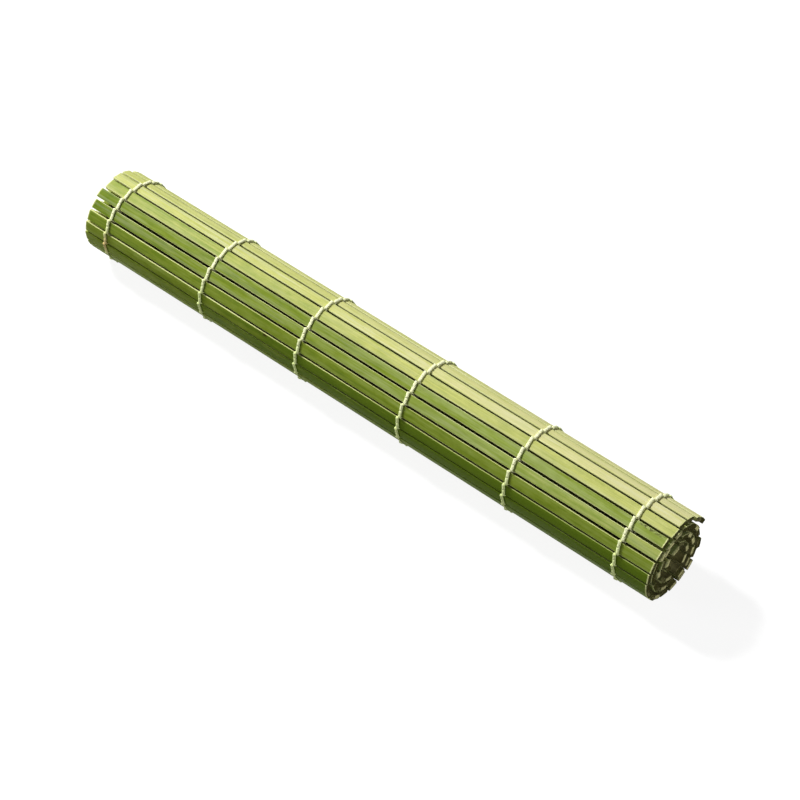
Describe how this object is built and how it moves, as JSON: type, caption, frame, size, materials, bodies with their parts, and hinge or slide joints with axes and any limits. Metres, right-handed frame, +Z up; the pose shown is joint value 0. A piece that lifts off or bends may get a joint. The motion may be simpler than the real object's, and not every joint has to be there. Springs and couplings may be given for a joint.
{
  "type": "sushi rolling mat",
  "caption": "Rolled bamboo sushi mat: flat green-skinned slats twined side by side with rows of cotton thread, hinged at every gap so that it unrolls flat.",
  "frame": {"origin": "the middle of the rolled mat's footprint, on the surface that it lies on", "axes": "+X along the slats, +Y across the roll towards the free edge, +Z up"},
  "size_m": [0.251, 0.0318, 0.0313],
  "materials": {
    "green_bamboo": "satin green bamboo skin on the outer face, pale sawn sides and inner face",
    "cotton_thread": "natural twisted cotton twine"
  },
  "bodies": {
    "slat_15": {"slat_15": "green_bamboo", "thread_row_1": "cotton_thread", "thread_row_2": "cotton_thread", "thread_row_3": "cotton_thread", "thread_row_4": "cotton_thread", "thread_row_5": "cotton_thread", "thread_row_6": "cotton_thread"},
    "slat_01": {"slat_01": "green_bamboo", "free_edge_knots": "cotton_thread"},
    "slat_02": {"slat_02": "green_bamboo"},
    "slat_03": {"slat_03": "green_bamboo"},
    "slat_04": {"slat_04": "green_bamboo"},
    "slat_05": {"slat_05": "green_bamboo"},
    "slat_06": {"slat_06": "green_bamboo"},
    "slat_07": {"slat_07": "green_bamboo"},
    "slat_08": {"slat_08": "green_bamboo"},
    "slat_09": {"slat_09": "green_bamboo"},
    "slat_10": {"slat_10": "green_bamboo"},
    "slat_11": {"slat_11": "green_bamboo"},
    "slat_12": {"slat_12": "green_bamboo"},
    "slat_13": {"slat_13": "green_bamboo"},
    "slat_14": {"slat_14": "green_bamboo"},
    "slat_16": {"slat_16": "green_bamboo"},
    "slat_17": {"slat_17": "green_bamboo"},
    "slat_18": {"slat_18": "green_bamboo"},
    "slat_19": {"slat_19": "green_bamboo"},
    "slat_20": {"slat_20": "green_bamboo"},
    "slat_21": {"slat_21": "green_bamboo"},
    "slat_22": {"slat_22": "green_bamboo"},
    "slat_23": {"slat_23": "green_bamboo"},
    "slat_24": {"slat_24": "green_bamboo"},
    "slat_25": {"slat_25": "green_bamboo"},
    "slat_26": {"slat_26": "green_bamboo"},
    "slat_27": {"slat_27": "green_bamboo"},
    "slat_28": {"slat_28": "green_bamboo"},
    "slat_29": {"slat_29": "green_bamboo"},
    "slat_30": {"slat_30": "green_bamboo"},
    "slat_31": {"slat_31": "green_bamboo"},
    "slat_32": {"slat_32": "green_bamboo"},
    "slat_33": {"slat_33": "green_bamboo"},
    "slat_34": {"slat_34": "green_bamboo"},
    "slat_35": {"slat_35": "green_bamboo"},
    "slat_36": {"slat_36": "green_bamboo"},
    "slat_37": {"slat_37": "green_bamboo"},
    "slat_38": {"slat_38": "green_bamboo"},
    "slat_39": {"slat_39": "green_bamboo"},
    "slat_40": {"slat_40": "green_bamboo"},
    "slat_41": {"slat_41": "green_bamboo"},
    "slat_42": {"slat_42": "green_bamboo"},
    "slat_43": {"slat_43": "green_bamboo"},
    "slat_44": {"slat_44": "green_bamboo"},
    "slat_45": {"slat_45": "green_bamboo"},
    "slat_46": {"slat_46": "green_bamboo"},
    "slat_47": {"slat_47": "green_bamboo"},
    "slat_48": {"slat_48": "green_bamboo"},
    "slat_49": {"slat_49": "green_bamboo"},
    "slat_50": {"slat_50": "green_bamboo"},
    "slat_51": {"slat_51": "green_bamboo", "core_knots": "cotton_thread"}
  },
  "joints": [
    {"name": "unroll", "type": "hinge", "parent": "slat_15", "child": "slat_16", "pos_m": [0, 0.00133, 0.00223], "axis": [-1, 0, 0], "range_deg": [0, 19], "deforming": ["thread_row_1", "thread_row_2", "thread_row_3", "thread_row_4", "thread_row_5", "thread_row_6"]},
    {"name": "slat_16_to_slat_17", "type": "hinge", "parent": "slat_16", "child": "slat_17", "pos_m": [0, 0.00521, 0.00357], "axis": [-1, 0, 0], "range_deg": [-1, 19.8]},
    {"name": "slat_17_to_slat_18", "type": "hinge", "parent": "slat_17", "child": "slat_18", "pos_m": [0, 0.00843, 0.00606], "axis": [-1, 0, 0], "range_deg": [-1, 19.6]},
    {"name": "slat_18_to_slat_19", "type": "hinge", "parent": "slat_18", "child": "slat_19", "pos_m": [0, 0.01059, 0.0093], "axis": [-1, 0, 0], "range_deg": [-1, 20.4]},
    {"name": "slat_19_to_slat_20", "type": "hinge", "parent": "slat_19", "child": "slat_20", "pos_m": [0, 0.01167, 0.01349], "axis": [-1, 0, 0], "range_deg": [-1, 20.9]},
    {"name": "slat_20_to_slat_21", "type": "hinge", "parent": "slat_20", "child": "slat_21", "pos_m": [0, 0.01128, 0.01749], "axis": [-1, 0, 0], "range_deg": [-1, 20.2]},
    {"name": "slat_21_to_slat_22", "type": "hinge", "parent": "slat_21", "child": "slat_22", "pos_m": [0, 0.00966, 0.02103], "axis": [-1, 0, 0], "range_deg": [-1, 20.6]},
    {"name": "slat_22_to_slat_23", "type": "hinge", "parent": "slat_22", "child": "slat_23", "pos_m": [0, 0.00681, 0.02396], "axis": [-1, 0, 0], "range_deg": [-1, 22.1]},
    {"name": "slat_23_to_slat_24", "type": "hinge", "parent": "slat_23", "child": "slat_24", "pos_m": [0, 0.00283, 0.0258], "axis": [-1, 0, 0], "range_deg": [-1, 22.3]},
    {"name": "slat_24_to_slat_25", "type": "hinge", "parent": "slat_24", "child": "slat_25", "pos_m": [0, -0.00119, 0.02604], "axis": [-1, 0, 0], "range_deg": [-1, 22.4]},
    {"name": "slat_25_to_slat_26", "type": "hinge", "parent": "slat_25", "child": "slat_26", "pos_m": [0, -0.00526, 0.02474], "axis": [-1, 0, 0], "range_deg": [-1, 22.2]},
    {"name": "slat_26_to_slat_27", "type": "hinge", "parent": "slat_26", "child": "slat_27", "pos_m": [0, -0.00825, 0.02232], "axis": [-1, 0, 0], "range_deg": [-1, 22]},
    {"name": "slat_27_to_slat_28", "type": "hinge", "parent": "slat_27", "child": "slat_28", "pos_m": [0, -0.01028, 0.01881], "axis": [-1, 0, 0], "range_deg": [-1, 23.3]},
    {"name": "slat_28_to_slat_29", "type": "hinge", "parent": "slat_28", "child": "slat_29", "pos_m": [0, -0.01085, 0.01464], "axis": [-1, 0, 0], "range_deg": [-1, 23.3]},
    {"name": "slat_29_to_slat_30", "type": "hinge", "parent": "slat_29", "child": "slat_30", "pos_m": [0, -0.00988, 0.01088], "axis": [-1, 0, 0], "range_deg": [-1, 22.9]},
    {"name": "slat_30_to_slat_31", "type": "hinge", "parent": "slat_30", "child": "slat_31", "pos_m": [0, -0.00755, 0.00773], "axis": [-1, 0, 0], "range_deg": [-1, 24.5]},
    {"name": "slat_31_to_slat_32", "type": "hinge", "parent": "slat_31", "child": "slat_32", "pos_m": [0, -0.00384, 0.00557], "axis": [-1, 0, 0], "range_deg": [-1, 25.3]},
    {"name": "slat_32_to_slat_33", "type": "hinge", "parent": "slat_32", "child": "slat_33", "pos_m": [0, 0.00015, 0.00515], "axis": [-1, 0, 0], "range_deg": [-1, 25.9]},
    {"name": "slat_33_to_slat_34", "type": "hinge", "parent": "slat_33", "child": "slat_34", "pos_m": [0, 0.00423, 0.00655], "axis": [-1, 0, 0], "range_deg": [-1, 26]},
    {"name": "slat_34_to_slat_35", "type": "hinge", "parent": "slat_34", "child": "slat_35", "pos_m": [0, 0.00701, 0.00921], "axis": [-1, 0, 0], "range_deg": [-1, 25.9]},
    {"name": "slat_35_to_slat_36", "type": "hinge", "parent": "slat_35", "child": "slat_36", "pos_m": [0, 0.0085, 0.01304], "axis": [-1, 0, 0], "range_deg": [-1, 28.1]},
    {"name": "slat_36_to_slat_37", "type": "hinge", "parent": "slat_36", "child": "slat_37", "pos_m": [0, 0.00807, 0.01736], "axis": [-1, 0, 0], "range_deg": [-1, 28.9]},
    {"name": "slat_37_to_slat_38", "type": "hinge", "parent": "slat_37", "child": "slat_38", "pos_m": [0, 0.00579, 0.0208], "axis": [-1, 0, 0], "range_deg": [-1, 29.2]},
    {"name": "slat_38_to_slat_39", "type": "hinge", "parent": "slat_38", "child": "slat_39", "pos_m": [0, 0.00213, 0.02277], "axis": [-1, 0, 0], "range_deg": [-1, 30.4]},
    {"name": "slat_39_to_slat_40", "type": "hinge", "parent": "slat_39", "child": "slat_40", "pos_m": [0, -0.00211, 0.02268], "axis": [-1, 0, 0], "range_deg": [-1, 30.2]},
    {"name": "slat_40_to_slat_41", "type": "hinge", "parent": "slat_40", "child": "slat_41", "pos_m": [0, -0.0054, 0.02076], "axis": [-1, 0, 0], "range_deg": [-1, 30.7]},
    {"name": "slat_41_to_slat_42", "type": "hinge", "parent": "slat_41", "child": "slat_42", "pos_m": [0, -0.00745, 0.01723], "axis": [-1, 0, 0], "range_deg": [-1, 32.1]},
    {"name": "slat_42_to_slat_43", "type": "hinge", "parent": "slat_42", "child": "slat_43", "pos_m": [0, -0.00738, 0.01333], "axis": [-1, 0, 0], "range_deg": [-1, 32.4]},
    {"name": "slat_43_to_slat_44", "type": "hinge", "parent": "slat_43", "child": "slat_44", "pos_m": [0, -0.00534, 0.01011], "axis": [-1, 0, 0], "range_deg": [-1, 35.3]},
    {"name": "slat_44_to_slat_45", "type": "hinge", "parent": "slat_44", "child": "slat_45", "pos_m": [0, -0.0014, 0.0084], "axis": [-1, 0, 0], "range_deg": [-1, 38.1]},
    {"name": "slat_45_to_slat_46", "type": "hinge", "parent": "slat_45", "child": "slat_46", "pos_m": [0, 0.00255, 0.00937], "axis": [-1, 0, 0], "range_deg": [-1, 40.4]},
    {"name": "slat_46_to_slat_47", "type": "hinge", "parent": "slat_46", "child": "slat_47", "pos_m": [0, 0.00515, 0.01282], "axis": [-1, 0, 0], "range_deg": [-1, 43.9]},
    {"name": "slat_47_to_slat_48", "type": "hinge", "parent": "slat_47", "child": "slat_48", "pos_m": [0, 0.00472, 0.01707], "axis": [-1, 0, 0], "range_deg": [-1, 46.2]},
    {"name": "slat_48_to_slat_49", "type": "hinge", "parent": "slat_48", "child": "slat_49", "pos_m": [0, 0.00152, 0.01966], "axis": [-1, 0, 0], "range_deg": [-1, 49.9]},
    {"name": "slat_49_to_slat_50", "type": "hinge", "parent": "slat_49", "child": "slat_50", "pos_m": [0, -0.00263, 0.01894], "axis": [-1, 0, 0], "range_deg": [-1, 53.5]},
    {"name": "slat_50_to_slat_51", "type": "hinge", "parent": "slat_50", "child": "slat_51", "pos_m": [0, -0.00439, 0.01557], "axis": [-1, 0, 0], "range_deg": [-1, 68.4]},
    {"name": "slat_15_to_slat_14", "type": "hinge", "parent": "slat_15", "child": "slat_14", "pos_m": [0, -0.00296, 0.00223], "axis": [1, 0, 0], "range_deg": [-1, 20.3]},
    {"name": "slat_14_to_slat_13", "type": "hinge", "parent": "slat_14", "child": "slat_13", "pos_m": [0, -0.00706, 0.00366], "axis": [1, 0, 0], "range_deg": [-1, 20.1]},
    {"name": "slat_13_to_slat_12", "type": "hinge", "parent": "slat_13", "child": "slat_12", "pos_m": [0, -0.01041, 0.00631], "axis": [1, 0, 0], "range_deg": [-1, 18.9]},
    {"name": "slat_12_to_slat_11", "type": "hinge", "parent": "slat_12", "child": "slat_11", "pos_m": [0, -0.01258, 0.00956], "axis": [1, 0, 0], "range_deg": [-1, 17.8]},
    {"name": "slat_11_to_slat_10", "type": "hinge", "parent": "slat_11", "child": "slat_10", "pos_m": [0, -0.0137, 0.0132], "axis": [1, 0, 0], "range_deg": [-1, 18.1]},
    {"name": "slat_10_to_slat_09", "type": "hinge", "parent": "slat_10", "child": "slat_09", "pos_m": [0, -0.01371, 0.01734], "axis": [1, 0, 0], "range_deg": [-1, 18.2]},
    {"name": "slat_09_to_slat_08", "type": "hinge", "parent": "slat_09", "child": "slat_08", "pos_m": [0, -0.01254, 0.02113], "axis": [1, 0, 0], "range_deg": [-1, 18.6]},
    {"name": "slat_08_to_slat_07", "type": "hinge", "parent": "slat_08", "child": "slat_07", "pos_m": [0, -0.01004, 0.02474], "axis": [1, 0, 0], "range_deg": [-1, 18.4]},
    {"name": "slat_07_to_slat_06", "type": "hinge", "parent": "slat_07", "child": "slat_06", "pos_m": [0, -0.00693, 0.02718], "axis": [1, 0, 0], "range_deg": [-1, 17.4]},
    {"name": "slat_06_to_slat_05", "type": "hinge", "parent": "slat_06", "child": "slat_05", "pos_m": [0, -0.00322, 0.02865], "axis": [1, 0, 0], "range_deg": [-1, 17.8]},
    {"name": "slat_05_to_slat_04", "type": "hinge", "parent": "slat_05", "child": "slat_04", "pos_m": [0, 0.00102, 0.02901], "axis": [1, 0, 0], "range_deg": [-1, 18.4]},
    {"name": "slat_04_to_slat_03", "type": "hinge", "parent": "slat_04", "child": "slat_03", "pos_m": [0, 0.00526, 0.02807], "axis": [1, 0, 0], "range_deg": [-1, 18.4]},
    {"name": "slat_03_to_slat_02", "type": "hinge", "parent": "slat_03", "child": "slat_02", "pos_m": [0, 0.00902, 0.02591], "axis": [1, 0, 0], "range_deg": [-1, 18.1]},
    {"name": "slat_02_to_slat_01", "type": "hinge", "parent": "slat_02", "child": "slat_01", "pos_m": [0, 0.01193, 0.02281], "axis": [1, 0, 0], "range_deg": [-1, 17]}
  ],
  "couplings": [
    {"joint": "slat_16_to_slat_17", "follows": "unroll", "ratio": 0.98742},
    {"joint": "slat_17_to_slat_18", "follows": "unroll", "ratio": 0.97463},
    {"joint": "slat_18_to_slat_19", "follows": "unroll", "ratio": 1.018},
    {"joint": "slat_19_to_slat_20", "follows": "unroll", "ratio": 1.0467},
    {"joint": "slat_20_to_slat_21", "follows": "unroll", "ratio": 1.0076},
    {"joint": "slat_21_to_slat_22", "follows": "unroll", "ratio": 1.0303},
    {"joint": "slat_22_to_slat_23", "follows": "unroll", "ratio": 1.1071},
    {"joint": "slat_23_to_slat_24", "follows": "unroll", "ratio": 1.1175},
    {"joint": "slat_24_to_slat_25", "follows": "unroll", "ratio": 1.1215},
    {"joint": "slat_25_to_slat_26", "follows": "unroll", "ratio": 1.1153},
    {"joint": "slat_26_to_slat_27", "follows": "unroll", "ratio": 1.1041},
    {"joint": "slat_27_to_slat_28", "follows": "unroll", "ratio": 1.173},
    {"joint": "slat_28_to_slat_29", "follows": "unroll", "ratio": 1.1722},
    {"joint": "slat_29_to_slat_30", "follows": "unroll", "ratio": 1.1525},
    {"joint": "slat_30_to_slat_31", "follows": "unroll", "ratio": 1.2347},
    {"joint": "slat_31_to_slat_32", "follows": "unroll", "ratio": 1.2741},
    {"joint": "slat_32_to_slat_33", "follows": "unroll", "ratio": 1.3055},
    {"joint": "slat_33_to_slat_34", "follows": "unroll", "ratio": 1.3118},
    {"joint": "slat_34_to_slat_35", "follows": "unroll", "ratio": 1.3103},
    {"joint": "slat_35_to_slat_36", "follows": "unroll", "ratio": 1.4246},
    {"joint": "slat_36_to_slat_37", "follows": "unroll", "ratio": 1.4681},
    {"joint": "slat_37_to_slat_38", "follows": "unroll", "ratio": 1.4795},
    {"joint": "slat_38_to_slat_39", "follows": "unroll", "ratio": 1.5459},
    {"joint": "slat_39_to_slat_40", "follows": "unroll", "ratio": 1.5354},
    {"joint": "slat_40_to_slat_41", "follows": "unroll", "ratio": 1.561},
    {"joint": "slat_41_to_slat_42", "follows": "unroll", "ratio": 1.6365},
    {"joint": "slat_42_to_slat_43", "follows": "unroll", "ratio": 1.6491},
    {"joint": "slat_43_to_slat_44", "follows": "unroll", "ratio": 1.8049},
    {"joint": "slat_44_to_slat_45", "follows": "unroll", "ratio": 1.9508},
    {"joint": "slat_45_to_slat_46", "follows": "unroll", "ratio": 2.0688},
    {"joint": "slat_46_to_slat_47", "follows": "unroll", "ratio": 2.2552},
    {"joint": "slat_47_to_slat_48", "follows": "unroll", "ratio": 2.3769},
    {"joint": "slat_48_to_slat_49", "follows": "unroll", "ratio": 2.5734},
    {"joint": "slat_49_to_slat_50", "follows": "unroll", "ratio": 2.7627},
    {"joint": "slat_50_to_slat_51", "follows": "unroll", "ratio": 3.5444},
    {"joint": "slat_15_to_slat_14", "follows": "unroll", "ratio": 1.0151},
    {"joint": "slat_14_to_slat_13", "follows": "unroll", "ratio": 1.0014},
    {"joint": "slat_13_to_slat_12", "follows": "unroll", "ratio": 0.94124},
    {"joint": "slat_12_to_slat_11", "follows": "unroll", "ratio": 0.87946},
    {"joint": "slat_11_to_slat_10", "follows": "unroll", "ratio": 0.89634},
    {"joint": "slat_10_to_slat_09", "follows": "unroll", "ratio": 0.9052},
    {"joint": "slat_09_to_slat_08", "follows": "unroll", "ratio": 0.92276},
    {"joint": "slat_08_to_slat_07", "follows": "unroll", "ratio": 0.91231},
    {"joint": "slat_07_to_slat_06", "follows": "unroll", "ratio": 0.86101},
    {"joint": "slat_06_to_slat_05", "follows": "unroll", "ratio": 0.88403},
    {"joint": "slat_05_to_slat_04", "follows": "unroll", "ratio": 0.91374},
    {"joint": "slat_04_to_slat_03", "follows": "unroll", "ratio": 0.91348},
    {"joint": "slat_03_to_slat_02", "follows": "unroll", "ratio": 0.89571},
    {"joint": "slat_02_to_slat_01", "follows": "unroll", "ratio": 0.84196}
  ]
}
